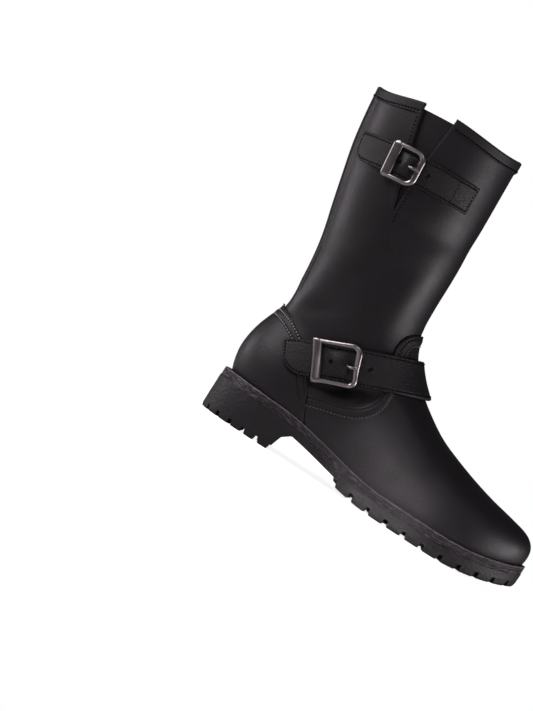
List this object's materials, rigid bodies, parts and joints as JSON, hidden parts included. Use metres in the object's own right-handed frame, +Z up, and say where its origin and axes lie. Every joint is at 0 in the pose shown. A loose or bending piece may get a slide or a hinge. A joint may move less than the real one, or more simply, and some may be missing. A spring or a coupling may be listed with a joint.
{
  "type": "motorcycle boot",
  "caption": "Pull-on motorcycle boot for the right foot: black leather shaft with a buckled gusset, ankle strap with buckle, round toe and moulded lug sole with heel.",
  "frame": {"origin": "on the floor, under the middle of the boot's overall box", "axes": "+X from heel to toe, +Y to the inner side of the foot, +Z up"},
  "size_m": [0.2954, 0.1106, 0.2879],
  "materials": {
    "leather": "black smooth leather, fine grain, soft satin",
    "trim": "thin black leather, matte",
    "rubber": "matte black moulded rubber",
    "lining": "dark textile lining",
    "steel": "brushed dark nickel"
  },
  "bodies": {
    "root": {"outsole": "rubber", "midsole": "rubber", "welt": "rubber", "insole": "lining", "upper": "leather", "vamp": "leather", "heel_counter": "leather", "collar_binding": "trim", "gusset": "trim", "ankle_strap": "leather", "ankle_buckle": "steel", "ankle_prong": "steel", "top_strap": "leather", "top_buckle": "steel", "top_prong": "steel"}
  },
  "joints": []
}
